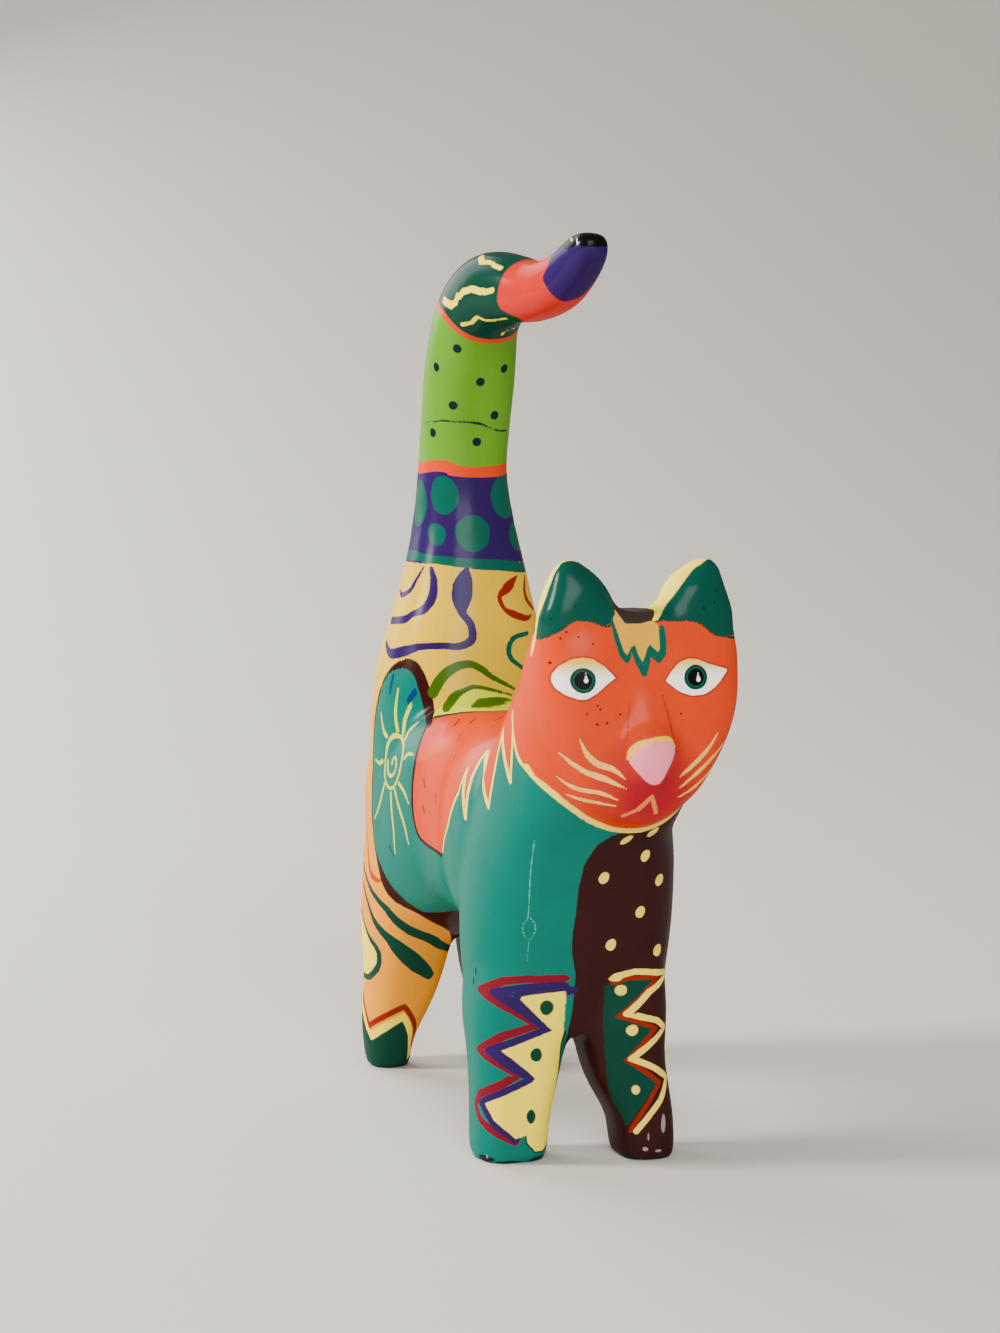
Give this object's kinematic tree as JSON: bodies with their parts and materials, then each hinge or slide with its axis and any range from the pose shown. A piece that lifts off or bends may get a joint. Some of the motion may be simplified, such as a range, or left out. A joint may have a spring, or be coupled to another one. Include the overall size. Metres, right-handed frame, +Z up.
{
  "type": "papier-mache cat ornament",
  "caption": "Small moulded cat figure that stands on stiff legs, with a forward shield-shaped face, pricked ears and a thick upright tail that bows over its back.",
  "frame": {"origin": "on the surface that the cat stands on, below the middle of its bounding box", "axes": "+Z up, -Y the way the cat faces, +X the cat's left"},
  "size_m": [0.0438, 0.1378, 0.1779],
  "materials": {
    "painted_papier_mache": "gloss"
  },
  "bodies": {
    "root": {"cat": "painted_papier_mache"}
  },
  "joints": []
}
